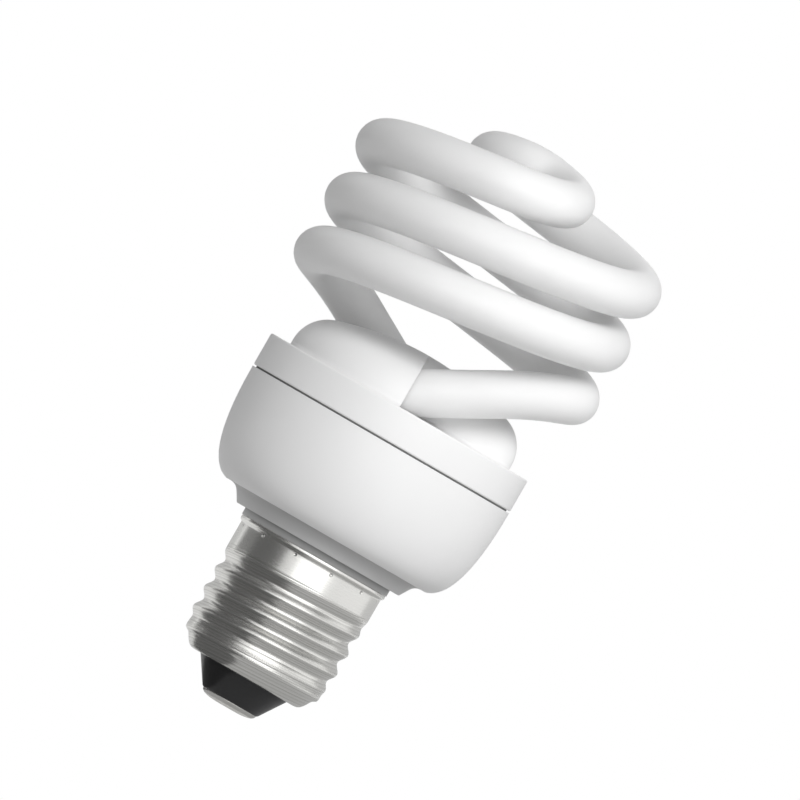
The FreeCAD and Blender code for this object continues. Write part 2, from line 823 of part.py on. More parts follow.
def core_half(side):
    """One E-shaped ferrite half: a back and three limbs."""
    c = choke_centre()
    half = core_length / 2
    limb = half - core_limb - core_air_gap
    pieces = [block(c + V(0, side * (half - core_limb / 2), 0), V(core_width, core_limb, core_depth))]
    middle = side * (core_air_gap + limb / 2)
    for x, width in ((-(core_width - core_limb) / 2, core_limb), (0, core_centre_limb),
                     ((core_width - core_limb) / 2, core_limb)):
        pieces.append(block(c + V(x, middle, 0), V(width, limb, core_depth)))
    return pieces[0].fuse(pieces[1:]).removeSplitter().Solids[0]


def bobbin_sizes():
    """Half width and half height of the bobbin's tube, outside and inside."""
    inner = V(core_centre_limb / 2 + 0.05, 0, core_depth / 2 + 0.05)
    outer = inner + V(bobbin_wall, 0, bobbin_wall)
    return inner, outer


def choke_bobbin():
    """Moulded former on the centre limb, whose flanges stand on the board by four pins."""
    c = choke_centre()
    inner, outer = bobbin_sizes()
    window = core_length / 2 - core_limb
    long = 2 * (window - 0.4)
    tube = block(c, V(2 * outer.x, long, 2 * outer.z))
    flange_half = core_width / 2 - core_limb - 0.15
    for side in (-1, 1):
        y = side * (long / 2 - bobbin_flange / 2)
        tall = bobbin_height + bobbin_foot
        tube = tube.fuse(block(c + V(0, y, bobbin_foot / 2), V(2 * flange_half, bobbin_flange, tall)))
    tube = tube.cut(block(c, V(2 * inner.x, core_length * 2, 2 * inner.z)))
    pins = []
    for side in (-1, 1):
        for across in (-1, 1):
            y = c.y + side * (long / 2 - bobbin_flange / 2)
            pins.append(leg(c.x + across * (flange_half - 0.9), y, board_seat() - 1))
    return tube.fuse(pins).Solids[0]


def choke_winding():
    """Enamelled wire on the bobbin, between its flanges."""
    c = choke_centre()
    inner, outer = bobbin_sizes()
    long = 2 * (core_length / 2 - core_limb - 0.4 - bobbin_flange - 0.05)
    wide = core_width / 2 - core_limb - 0.25
    tall = bobbin_height / 2 - 0.3
    body = block(c, V(2 * wide, long, 2 * tall))
    body = body.makeFillet(0.8, [e for e in body.Edges if abs(e.tangentAt(e.FirstParameter).y) > 0.9])
    return body.cut(block(c, V(2 * outer.x + 0.06, long * 2, 2 * outer.z + 0.06))).Solids[0]


def ring_centre():
    x, y = ring_place
    return V(x, y, board_seat() - ring_section - 2 * winding_wire - 0.2)


def ring_core():
    """Coated ferrite ring that feeds the two transistors."""
    return Part.makeTorus(ring_radius, ring_section, ring_centre(), UP)


def ring_winding(first, span, turns):
    """Wire wound round part of the ring: down outside, up inside, with both ends up to the board."""
    c = ring_centre()
    reach = ring_section + winding_wire + 0.04
    top = board_top_z + lead_above_board
    points = []
    count = int(turns * 12) + 6
    for i in range(count + 1):
        around = -(turns * 360.0 + 180) * i / count
        place = at(1, first + span * i / count)
        a = math.radians(around)
        points.append(c + place * (ring_radius + reach * math.cos(a)) + UP * (reach * math.sin(a)))
    for end in (0, -1):
        foot = points[end]
        rise = [V(foot.x, foot.y, z) for z in (foot.z + 1.5, foot.z + 3, top)]
        points = rise[::-1] + points if end == 0 else points + rise
        legs.append((foot.x, foot.y, winding_wire))
    return smooth_rod(points, winding_wire)


def wire_pin(place):
    """Square pin pressed into the board, on which a filament lead is wrapped; like the lead, it has
    a copy half a turn on."""
    x, y = place
    for side in (1, -1):
        legs.append((side * x, side * y, pin_side * math.sqrt(0.5) - hole_clearance + 0.03))
    return block(V(x, y, board_low_z + (board_thickness + pin_above_board) / 2),
                 V(pin_side, pin_side, board_thickness + pin_above_board))


def filament_lead(across, place):
    """Lead from the sealed tube end to its pin, wrapped round it."""
    pin = V(*place, 0)
    end, before = inside_points(0, tube_end_turn)[0], inside_points(0, tube_end_turn)[1]
    ahead = (end - before).normalize()
    sideways = UP.cross(ahead).normalize()
    start = end + sideways * across + ahead * hole_clearance
    wrap = pin_side * math.sqrt(0.5) + filament_wire + 0.05
    wrap_top = board_top_z + pin_above_board - 1.2
    heading = math.degrees(math.atan2(pin.y - start.y, pin.x - start.x))
    entry = pin + at(wrap, heading - 90, wrap_top)
    points = [start, start + ahead * 1.5, entry - at(1.3, heading) + UP * 0.15]
    count = int(lead_wraps * 12)
    for i in range(count + 1):
        turn = 360.0 * lead_wraps * i / count
        points.append(pin + at(wrap, heading - 90 + turn, wrap_top - filament_wire * 2.6 * turn / 360))
    return smooth_rod(points, filament_wire)


def fusible_resistor():
    """Resistor in the live wire, hung in the neck."""
    x, y = fuse_place
    low = fuse_low_z
    high = low + fuse_length
    body = cylinder(fuse_radius, low, high, x, y)
    body = body.makeFillet(0.4, [e for e in body.Edges if isinstance(e.Curve, Part.Circle)])
    lower = cylinder(lead_radius, low - fuse_tail, low + 0.3, x, y)
    return body.fuse([lower, leg(x, y, high - 0.3)]).Solids[0]


def live_lead():
    """Wire from the fusible resistor down through the glass to the solder in the contact."""
    x, y = fuse_place
    return bent_rod([V(0, 0, solder_height), V(0, 0, contact_height + contact_stem_length + 2.5),
                     V(x, y, fuse_low_z - fuse_tail - 4), V(x, y, fuse_low_z - fuse_tail)],
                    lead_radius, 2.5)


def neutral_lead():
    """Wire down from the board, folded up between the spigot and the screw shell."""
    fold_z = spigot_low_z - 2 * lead_radius - 0.2
    outer = spigot_radius - lead_radius - 0.06
    legs.append((*at(neutral_radius, neutral_angle)[0:2], lead_radius))
    return bent_rod([at(neutral_radius, neutral_angle, board_top_z + lead_above_board),
                     at(neutral_radius, neutral_angle, fold_z), at(outer, neutral_angle, fold_z),
                     at(outer, neutral_angle, spigot_low_z + neutral_fold_length - 0.6)],
                    lead_radius, 0.9)


def circuit_board():
    """Round laminate with a hole for each leg and pin."""
    board = cylinder(board_radius, board_low_z, board_top_z)
    holes = [cylinder(r + hole_clearance, board_low_z - 1, board_top_z + 1, x, y) for x, y, r in legs]
    return board.cut(holes).Solids[0]


nodes["spiral_tube"] = make_tube()
nodes["tube_cover"] = make_cover()
nodes["ballast_housing"] = make_housing()
nodes["screw_shell"] = make_shell()
nodes["cap_insulator"] = make_insulator()
nodes["centre_contact"] = make_contact()
sealant = make_sealant()
nodes["tube_sealant_1"] = sealant
nodes["tube_sealant_2"] = turned(sealant, 180)

nodes["storage_capacitor"] = storage_capacitor()
nodes["resonant_capacitor"] = film_capacitor(resonant_place, resonant_size, 0, resonant_leg_offset)
nodes["coupling_capacitor"] = film_capacitor(coupling_place, coupling_size, coupling_leg_offset, 0)
nodes["choke_core_1"] = core_half(-1)
nodes["choke_core_2"] = core_half(1)
nodes["choke_bobbin"] = choke_bobbin()
nodes["choke_winding"] = choke_winding()
nodes["feedback_ring"] = ring_core()
for k, (first, span, turns) in enumerate(ring_windings, 1):
    nodes["feedback_winding_" + str(k)] = ring_winding(first, span, turns)
nodes["transistor_1"] = transistor(transistor_place_1)
nodes["transistor_2"] = transistor(transistor_place_2)
for k in range(4):
    nodes["rectifier_diode_" + str(k + 1)] = lying_diode(k)
nodes["base_resistor_1"] = standing_resistor(base_resistor_place_1, 90)
nodes["base_resistor_2"] = standing_resistor(base_resistor_place_2, 90)
nodes["emitter_resistor_1"] = standing_resistor(emitter_resistor_place_1, 0)
nodes["emitter_resistor_2"] = standing_resistor(emitter_resistor_place_2, 120)
nodes["start_resistor"] = standing_resistor(start_resistor_place, 180)
nodes["diac"] = standing_resistor(diac_place, 215, diac_radius, diac_length)
nodes["thermistor"] = thermistor()
nodes["inductor_core"] = drum_core()
nodes["inductor_winding"] = drum_winding()
nodes["fusible_resistor"] = fusible_resistor()
nodes["live_lead"] = live_lead()
nodes["neutral_lead"] = neutral_lead()
for k, (place, side) in enumerate([(pin_place_1, -1), (pin_place_2, 1)], 1):
    pin = wire_pin(place)
    lead = filament_lead(side * filament_lead_offset, place)
    nodes["wire_pin_" + str(k)] = pin
    nodes["wire_pin_" + str(k + 2)] = turned(pin, 180)
    nodes["filament_lead_" + str(k)] = lead
    nodes["filament_lead_" + str(k + 2)] = turned(lead, 180)
nodes["circuit_board"] = circuit_board()

os.makedirs("parts", exist_ok=True)
for name, solid in nodes.items():
    solid.exportStep("parts/" + name + ".step")
    box = solid.BoundBox
    print(name, solid.ShapeType, solid.isValid(), len(solid.Solids), round(solid.Volume, 1),
          [round(v, 1) for v in (box.XMin, box.XMax, box.YMin, box.YMax, box.ZMin, box.ZMax)])
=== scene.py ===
import math

import bmesh
import bpy
import numpy as np
from mathutils import Matrix, Vector


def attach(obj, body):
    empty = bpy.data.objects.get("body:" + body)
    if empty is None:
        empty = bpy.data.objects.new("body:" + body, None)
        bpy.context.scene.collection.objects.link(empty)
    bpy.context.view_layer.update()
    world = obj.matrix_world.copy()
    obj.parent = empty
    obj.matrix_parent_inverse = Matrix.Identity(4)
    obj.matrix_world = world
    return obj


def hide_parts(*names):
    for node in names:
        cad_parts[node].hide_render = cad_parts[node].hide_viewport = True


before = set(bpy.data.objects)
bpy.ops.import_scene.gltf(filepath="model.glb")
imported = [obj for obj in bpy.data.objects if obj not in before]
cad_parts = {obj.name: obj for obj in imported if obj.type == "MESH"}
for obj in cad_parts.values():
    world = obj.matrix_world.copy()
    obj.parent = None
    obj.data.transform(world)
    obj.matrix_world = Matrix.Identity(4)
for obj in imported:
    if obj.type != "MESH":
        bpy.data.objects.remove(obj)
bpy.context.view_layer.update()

# Spiral tube. One glass tube, coated inside with white phosphor, wound as two strands that leave
# the cover on opposite sides and cross at the top. The second strand is the first turned half round.

tube_radius = 0.0040
tube_seal = 0.0025
tube_tip_share = 0.1
tube_step = 0.0009
tube_columns = 48
exit_radius = 0.0146
exit_height = 0.05954
end_turn = math.radians(42)
end_points = 40
leg_rise = 0.543
leg_straight = 0.0107
leg_points = 300
coil_radius = 0.02431
coil_pitch = 0.02034
coil_angle = math.radians(435)
coil_points = 1500
bridge_pull_in = 0.0158
bridge_pull_out = 0.0124
bridge_rise = 1.03
bridge_round = 0.003
bridge_points = 400
phosphor_light = (0.81, 0.81, 0.81)
phosphor_dull = (0.785, 0.785, 0.785)


def eased(share):
    """Smooth step 3 s^2 - 2 s^3 of a share that is held between 0 and 1."""
    held = np.clip(share, 0, 1)
    return held**2 * (3 - 2 * held)


def risen(plan, slope, low):
    """Points over a plan curve: the height grows by the slope times the length of each run."""
    runs = np.linalg.norm(np.diff(plan, axis=0), axis=1)
    heights = low + np.concatenate([[0.0], np.cumsum(runs * slope(runs))])
    return np.column_stack([plan, heights])


def strand_line():
    """Centre line of a strand: an arc inside the cover, a quarter ellipse x = R sin t,
    y = -r cos t whose rise eases into the coil's, a helix, and a cubic curve to the axis."""
    turn = np.linspace(end_turn, 0, end_points)
    inner = np.column_stack([-exit_radius * np.sin(turn), -exit_radius * np.cos(turn),
                             exit_height - leg_rise * exit_radius * turn])
    coil_rise = coil_pitch / (2 * math.pi * coil_radius)

    def leg_slope(runs):
        middle = np.cumsum(runs) - runs / 2
        share = (middle - leg_straight) / (runs.sum() - leg_straight)
        return leg_rise + (coil_rise - leg_rise) * eased(share)

    t = np.linspace(0, math.pi / 2, leg_points)
    plan = np.column_stack([coil_radius * np.sin(t), -exit_radius * np.cos(t)])
    leg = risen(plan, leg_slope, exit_height)
    angle = np.linspace(0, coil_angle, coil_points)
    coil = np.column_stack([coil_radius * np.cos(angle), coil_radius * np.sin(angle),
                            leg[-1, 2] + coil_pitch * angle / (2 * math.pi)])
    start = coil[-1, :2]
    ahead = np.array([-math.sin(coil_angle), math.cos(coil_angle)])
    poles = np.array([start, start + ahead * bridge_pull_in, [-bridge_pull_out, 0.0], [0.0, 0.0]])
    s = np.linspace(0, 1, bridge_points)[:, None]
    shares = np.hstack([(1 - s)**3, 3 * s * (1 - s)**2, 3 * s**2 * (1 - s), s**3])

    def bridge_slope(runs):
        left = runs.sum() - np.cumsum(runs) + runs / 2
        return bridge_rise * coil_rise * np.minimum(1, left / bridge_round)

    bridge = risen(shares @ poles, bridge_slope, coil[-1, 2])
    return np.vstack([inner, leg[1:], coil[1:], bridge[1:]])


def evenly(points, step):
    """The same line with points at equal steps along it."""
    runs = np.linalg.norm(np.diff(points, axis=0), axis=1)
    along = np.concatenate([[0.0], np.cumsum(runs)])
    places = np.linspace(0, along[-1], int(along[-1] / step) + 1)
    return np.column_stack([np.interp(places, along, points[:, k]) for k in range(3)])


def rings_along(line, radii, columns):
    """Rings square to a line: centre + radius (cos a * side + sin a * over), where side is the
    line's direction crossed with up, and over stands on both."""
    ahead = np.gradient(line, axis=0)
    ahead /= np.linalg.norm(ahead, axis=1, keepdims=True)
    side = np.cross(ahead, [0.0, 0.0, 1.0])
    side /= np.linalg.norm(side, axis=1, keepdims=True)
    over = np.cross(side, ahead)
    a = np.linspace(0, 2 * math.pi, columns, endpoint=False)[None, :, None]
    out = np.cos(a) * side[:, None, :] + np.sin(a) * over[:, None, :]
    return line[:, None, :] + radii[:, None, None] * out


def surface(name, rings, closed=False):
    """Smooth mesh over closed rings of points. The ends of an open row of rings are drawn to
    their centres, and the faces are turned outwards by the sign of the volume they enclose."""
    rows, columns, _ = rings.shape
    points = rings.reshape(-1, 3)
    index = np.arange(rows * columns).reshape(rows, columns)
    if closed:
        index = np.vstack([index, index[:1]])
    index = np.hstack([index, index[:, :1]])
    quads = np.stack([index[:-1, :-1], index[:-1, 1:], index[1:, 1:], index[1:, :-1]], axis=-1)
    quads = quads.reshape(-1, 4)
    fans = np.zeros((0, 3), dtype=int)
    if not closed:
        first, last = len(points), len(points) + 1
        points = np.vstack([points, rings[0].mean(axis=0), rings[-1].mean(axis=0)])
        near = np.column_stack([index[0, 1:], index[0, :-1], np.full(columns, first)])
        far = np.column_stack([index[-1, :-1], index[-1, 1:], np.full(columns, last)])
        fans = np.vstack([near, far])
    corners = points[quads]
    volume = np.einsum("ij,ij->i", corners[:, 0], np.cross(corners[:, 1], corners[:, 2])).sum()
    if volume < 0:
        quads, fans = quads[:, ::-1], fans[:, ::-1]
    mesh = bpy.data.meshes.new(name)
    mesh.from_pydata(points.tolist(), [], quads.tolist() + fans.tolist())
    mesh.shade_smooth()
    piece = bpy.data.objects.new(name, mesh)
    bpy.context.collection.objects.link(piece)
    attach(piece, "root")
    return piece


class Socket:
    """An output of a finish's nodes. Arithmetic on it adds Math nodes."""

    def __init__(self, finish, output):
        self.finish = finish
        self.output = output

    def maths(self, operation, first, second):
        """Adds a Math node on two values or sockets."""
        return self.finish.node("Math", {"operation": operation}, {0: first, 1: second})

    def __add__(self, other):
        return self.maths("ADD", self, other)

    def __radd__(self, other):
        return self.maths("ADD", other, self)

    def __sub__(self, other):
        return self.maths("SUBTRACT", self, other)

    def __rsub__(self, other):
        return self.maths("SUBTRACT", other, self)

    def __mul__(self, other):
        return self.maths("MULTIPLY", self, other)

    def __rmul__(self, other):
        return self.maths("MULTIPLY", other, self)

    def __truediv__(self, other):
        return self.maths("DIVIDE", self, other)

    def __rtruediv__(self, other):
        return self.maths("DIVIDE", other, self)

    def __lt__(self, other):
        return self.maths("LESS_THAN", self, other)

    def __gt__(self, other):
        return self.maths("GREATER_THAN", self, other)


class Finish:
    """A material under construction: a Principled shader with its constants set on its sockets."""

    def __init__(self, name, colour, roughness, **constants):
        self.material = bpy.data.materials.new(name)
        self.material.use_nodes = True
        self.tree = self.material.node_tree
        self.shader = self.tree.nodes["Principled BSDF"]
        self.shader.inputs["Base Color"].default_value = (*colour, 1)
        self.shader.inputs["Roughness"].default_value = roughness
        for socket, value in constants.items():
            self.shader.inputs[socket.replace("_", " ").title()].default_value = value
        self.material.diffuse_color = (*colour, 1)

    def node(self, kind, settings, values, output=0):
        """Adds a node: its settings first, then a value or a link for each socket."""
        made = self.tree.nodes.new("ShaderNode" + kind)
        for setting, value in settings.items():
            setattr(made, setting, value)
        for socket, value in values.items():
            if isinstance(value, Socket):
                self.tree.links.new(value.output, made.inputs[socket])
            else:
                made.inputs[socket].default_value = value
        return Socket(self, made.outputs[output])

    def place(self):
        """Object coordinates."""
        return self.node("TexCoord", {}, {}, "Object")

    def along(self, axis):
        """The object coordinate along one axis."""
        return self.node("SeparateXYZ", {}, {"Vector": self.place()}, axis)

    def noise(self, size, detail):
        """Noise from 0 to 1 whose blotches are about a size across."""
        values = {"Vector": self.place(), "Scale": 1 / size, "Detail": detail}
        return self.node("TexNoise", {}, values)

    def limited(self, value):
        """The value held between 0 and 1."""
        return self.node("Clamp", {}, {"Value": value})

    def between(self, first, second, share):
        """A colour between two, by a share."""
        values = {0: share, 6: (*first, 1), 7: (*second, 1)}
        return self.node("Mix", {"data_type": "RGBA"}, values, 2)

    def relief(self, height, depth):
        """Bumps of a height from 0 to 1, as deep as stated, on the shader's normal."""
        self.set("Normal", self.node("Bump", {}, {"Height": height, "Distance": depth}))

    def set(self, socket, value):
        """Links a value to one of the shader's sockets."""
        self.tree.links.new(value.output, self.shader.inputs[socket])


def finished(piece, finish):
    """Gives a new piece its only material."""
    piece.data.materials.clear()
    piece.data.materials.append(finish.material)


phosphor = Finish("phosphor_glass", (0.85, 0.85, 0.845), 0.42, coat_weight=0.15, coat_roughness=0.3,
                  subsurface_weight=1.0, subsurface_radius=(1.0, 1.0, 1.0), subsurface_scale=0.004)
mottle = phosphor.noise(size=0.006, detail=3.0)
phosphor.set("Base Color", phosphor.between(phosphor_light, phosphor_dull, mottle))
phosphor.set("Roughness", 0.41 + 0.08 * mottle)
phosphor.relief(phosphor.noise(size=0.0012, detail=2.0), depth=0.00001)

strand = strand_line()
line = evenly(np.vstack([strand, strand[-2::-1] * [-1, -1, 1]]), tube_step)
from_end = np.minimum(np.arange(len(line)), np.arange(len(line))[::-1]) * tube_step
closing = 1 - np.minimum(from_end / tube_seal, 1)
tube_radii = tube_radius * np.sqrt(np.maximum(1 - closing**2, tube_tip_share**2))
tube = surface("glass_spiral", rings_along(line, tube_radii, tube_columns))
finished(tube, phosphor)
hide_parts("spiral_tube")

# Tube cover. One moulding in fine satin white plastic: a rim, two lobes whose flat end walls the
# tube leaves, and a skirt that snaps into the housing. The skirt shows only in the seam, where it is
# painted dark grey as painted shade.

weld_distance = 0.000002
crease = math.radians(32)
clean_white = (0.84, 0.84, 0.84)
# Dark grey of the painted shade in the cover's seam and in the housing's neck.
painted_shade_grey = (0.16, 0.16, 0.16)
rim_low_z = 0.05103
seam_shade = 0.8


def creased(mesh):
    """Shades a mesh smooth but for the edges that are sharper than the crease."""
    mesh.shade_smooth()
    mesh.set_sharp_from_angle(angle=crease)


def welded(name, node):
    """A copy of a piece whose triangles are joined where their corners meet."""
    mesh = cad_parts[node].data.copy()
    mesh.name = name
    piece = bpy.data.objects.new(name, mesh)
    bpy.context.collection.objects.link(piece)
    weld = piece.modifiers.new("weld", "WELD")
    weld.merge_threshold = weld_distance
    shown = piece.evaluated_get(bpy.context.evaluated_depsgraph_get())
    piece.data = bpy.data.meshes.new_from_object(shown)
    piece.modifiers.clear()
    creased(piece.data)
    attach(piece, "root")
    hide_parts(node)
    return piece


def moulded_white(name):
    """White plastic from an eroded mould: finely grained and barely uneven in gloss."""
    finish = Finish(name, clean_white, 0.42)
    finish.set("Roughness", 0.38 + 0.1 * finish.noise(size=0.0008, detail=3.0))
    finish.relief(finish.noise(size=0.00022, detail=2.0), depth=0.000006)
    return finish


cover_white = moulded_white("cover_plastic")
# Painted shade: the white skirt below the rim is painted dark grey so that the seam reads dark.
painted_shade = seam_shade * (cover_white.along("Z") < rim_low_z)
cover_white.set("Base Color", cover_white.between(clean_white, painted_shade_grey, painted_shade))

cover = welded("cover_moulding", "tube_cover")
finished(cover, cover_white)

# Ballast housing. The bowl, its flared neck and the spigot are one moulding in the same plastic.
# The neck's ring and flare are painted grey as painted shade, darker up the ring towards the flare over
# it and up the flare towards the bowl.

neck_edge_radius = 0.01533
neck_edge_z = 0.02997
neck_ring_height = 0.00117
neck_flare_height = 0.00265
mould_edge = 0.00015
edge_reach = 0.00003
# Painted shade on the neck: its share at the bottom of the ring and of the flare, and how much it
# rises.
ring_shade_low = 0.36
ring_shade_rise = 0.5
flare_shade_low = 0.34
flare_shade_rise = 0.28


def softened(piece, radius, height, width):
    """Rounds the ring edge at a radius and a height: mould edges are never quite sharp."""
    ring = bmesh.new()
    ring.from_mesh(piece.data)

    def on_ring(vertex):
        across = math.hypot(vertex.co.x, vertex.co.y)
        return abs(across - radius) < edge_reach and abs(vertex.co.z - height) < edge_reach

    edges = [e for e in ring.edges if on_ring(e.verts[0]) and on_ring(e.verts[1])]
    bmesh.ops.bevel(ring, geom=edges, offset=width, segments=2, profile=0.5, affect="EDGES")
    ring.to_mesh(piece.data)
    ring.free()
    creased(piece.data)


# The share of painted shade is low + rise s^2, where s goes from 0 to 1 up the ring and again up the
# flare.
housing_white = moulded_white("housing_plastic")
above_edge = housing_white.along("Z") - neck_edge_z
up_ring = housing_white.limited(above_edge / neck_ring_height + 1)
up_flare = housing_white.limited(above_edge / neck_flare_height)
ring_shade = ring_shade_low + ring_shade_rise * up_ring * up_ring
flare_shade = flare_shade_low + flare_shade_rise * up_flare * up_flare
on_neck = above_edge < neck_flare_height
painted_shade = on_neck * (flare_shade + (above_edge < 0.0) * (ring_shade - flare_shade))
housing_white.set("Base Color", housing_white.between(clean_white, painted_shade_grey, painted_shade))

housing = welded("housing_moulding", "ballast_housing")
softened(housing, neck_edge_radius, neck_edge_z, mould_edge)
finished(housing, housing_white)

# Screw shell. Bright nickel-plated sheet with the round E27 thread rolled in, a plain band with
# punch marks, and a turned-out lip. Rolling leaves fine lines that follow the thread.

thread_pitch = 0.003629
crest_radius = 0.01313
thread_depth = 0.00103
thread_low = 0.0034
thread_run_in = 0.0026
thread_run_out = 0.0036
thread_crest_rise = 0.00797
bead_radius = 0.0125
shell_height = 0.02314
shell_foot_z = 0.00566
shell_sheet = 0.0003
band_height = 0.00494
band_low = shell_height - band_height
band_start = band_low + 0.001
foot_hole_radius = 0.00825
foot_shape = [(0.0, 0.0), (0.22, 0.0), (0.46, 0.00008), (0.63, 0.00085), (0.75, 0.00175),
              (0.81, 0.0022), (0.97, 0.00245), (1.01, 0.0029)]
lip_reach = 0.00042
lip_radius = crest_radius + lip_reach
lip_shape = [(crest_radius, -0.0012), (crest_radius, -0.0009), (lip_radius, -0.00075),
             (lip_radius, -0.0004), (lip_radius, 0.0)]
rows_per_pitch = 8
shell_columns = 192
rows_per_pole = 4
punch_count = 12
punch_turn = math.radians(-72)
punch_drop = 0.00145
punch_radius = 0.00032
nickel_bright = (0.82, 0.815, 0.79)
nickel_dull = (0.50, 0.495, 0.47)
lines_per_pitch = 14.0
streak_gain = 3.2
streak_loss = 1.35
band_streaks = 0.1
band_relief = 0.015
thread_relief = 0.4
punch_depth = 0.00015


def thread_radii(rise, angle):
    """Radius of the rolled sheet: crest - depth (1 - cos 2 pi turn) / 2, where turn is the rise in
    pitches less the angle in turns. The wave eases in above the bead and out below the band."""
    ease_in = eased((rise - thread_low) / thread_run_in)
    ease_out = eased((band_low - rise) / thread_run_out)
    turn = (rise - thread_crest_rise) / thread_pitch - angle / (2 * math.pi)
    wave = (1 - np.cos(2 * math.pi * turn)) / 2
    crest = bead_radius + (crest_radius - bead_radius) * ease_in
    return crest - thread_depth * wave * ease_in * ease_out


def smoothed(poles, steps):
    """Points on the closed uniform cubic B-spline of each column's poles: with s from 0 to 1 in a
    span, the shares (1-s)^3, 3s^3-6s^2+4, -3s^3+3s^2+3s+1 and s^3, each over six."""
    s = np.arange(steps)[None, :, None, None] / steps
    before, here, after, beyond = (np.roll(poles, k, axis=0)[:, None] for k in (1, 0, -1, -2))
    points = (before * (1 - s)**3 + here * (3 * s**3 - 6 * s**2 + 4)
              + after * (-3 * s**3 + 3 * s**2 + 3 * s + 1) + beyond * s**3) / 6
    return points.reshape(-1, *poles.shape[1:])


def sheet_loop(angle):
    """Poles of the sheet's section at each angle: radius and height up the outer face and down the
    inner one, which stands off it by the sheet's thickness along its slope."""
    foot = [(foot_hole_radius + share * (bead_radius - foot_hole_radius), rise)
            for share, rise in foot_shape]
    thread_rows = round((band_low - thread_low) / thread_pitch * rows_per_pitch) + 1
    thread = [(thread_radii(rise, angle), rise)
              for rise in np.linspace(thread_low, band_low, thread_rows)]
    lip = [(radius, shell_height + drop) for radius, drop in lip_shape]
    spread = np.ones(len(angle))
    outer = np.array([np.stack([spread * radius, spread * rise], axis=-1)
                      for radius, rise in foot + thread + [(crest_radius, band_start)] + lip])
    along = np.gradient(outer, axis=0)
    along /= np.linalg.norm(along, axis=2, keepdims=True)
    inner = outer + shell_sheet * np.stack([-along[..., 1], along[..., 0]], axis=-1)
    return np.concatenate([outer, inner[::-1]])


around = np.linspace(0, 2 * math.pi, shell_columns, endpoint=False)
section = smoothed(sheet_loop(around), rows_per_pole)
shell_rings = np.stack([section[..., 0] * np.cos(around), section[..., 0] * np.sin(around),
                        section[..., 1] + shell_foot_z], axis=-1)
shell = surface("shell_sheet", shell_rings, closed=True)

# The rolled lines are noise over the thread's phase. Each punch mark is a dish 1 - (distance/radius)^2.
nickel = Finish("rolled_nickel", (0.77, 0.765, 0.74), 0.26, metallic=1.0)
x, y, z = (nickel.along(axis) for axis in "XYZ")
angle = nickel.node("Math", {"operation": "ARCTAN2"}, {0: y, 1: x})
phase = nickel.node("Math", {"operation": "FRACT"}, {0: z / thread_pitch - angle / (2 * math.pi)})
line_place = nickel.node("CombineXYZ", {}, {"X": phase})
lines = nickel.node("TexNoise", {}, {"Vector": line_place, "Scale": lines_per_pitch, "Detail": 4.0})
smear = nickel.noise(size=0.004, detail=3.0)
marks = (angle - punch_turn) * (punch_count / (2 * math.pi)) + 0.5
across = nickel.node("Math", {"operation": "FRACT"}, {0: marks}) - 0.5
across = across * (2 * math.pi * crest_radius / punch_count)
above = z - (shell_foot_z + shell_height - punch_drop)
dent = nickel.limited(1 - (across * across + above * above) / punch_radius**2)
rolled = z < shell_foot_z + band_low
streaks = nickel.limited(streak_gain * lines - streak_loss)
streaks = streaks * (band_streaks + (1 - band_streaks) * rolled)
nickel.set("Base Color", nickel.between(nickel_bright, nickel_dull, streaks))
nickel.set("Roughness", 0.18 + 0.10 * lines + 0.05 * smear)
nickel.relief((band_relief + (thread_relief - band_relief) * rolled) * lines - dent, punch_depth)
finished(shell, nickel)
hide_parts("screw_shell")

# Cap insulator. A cone of black glass, cast into the foot of the shell when the cap is made. It
# holds the centre contact and keeps it apart from the shell.

black_glass = Finish("black_glass", (0.018, 0.018, 0.019), 0.3)
cooling = black_glass.noise(size=0.003, detail=3.0)
black_glass.set("Roughness", 0.26 + 0.12 * cooling)
black_glass.relief(cooling, depth=0.00008)

insulator = welded("insulator_cone", "cap_insulator")
finished(insulator, black_glass)

# Centre contact. A domed brass button on the tip of the glass cone. Its hollow rivet was soldered
# to the live wire, which left the dome tinned.

tin_bright = (0.73, 0.725, 0.71)
tin_dull = (0.56, 0.55, 0.52)

tinned = Finish("tinned_contact", (0.70, 0.69, 0.67), 0.28, metallic=1.0)
flow = tinned.noise(size=0.0015, detail=4.0)
tinned.set("Base Color", tinned.between(tin_bright, tin_dull, flow))
tinned.set("Roughness", 0.2 + 0.2 * flow)
tinned.relief(flow, depth=0.00004)

contact = welded("contact_button", "centre_contact")
finished(contact, tinned)

# Pieces inside. The CAD solids stay as they are and get the finish of the real parts: laminate,
# coated components, ferrite, enamelled copper, tinned wire and sealing compound.

gloss_spread = 0.1


def dressed(nodes, finish):
    """Puts a finish on the CAD pieces."""
    for node in nodes:
        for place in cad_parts[node].material_slots:
            place.material = finish.material


def grained(name, light, dark, size, roughness, grain=0.00001, **constants):
    """A finish between two colours, with bumps and gloss that vary by the same noise."""
    finish = Finish(name, light, roughness, **constants)
    spread = finish.noise(size, detail=3.0)
    finish.set("Base Color", finish.between(light, dark, spread))
    finish.set("Roughness", roughness + gloss_spread * (spread - 0.5))
    finish.relief(spread, grain)
    return finish


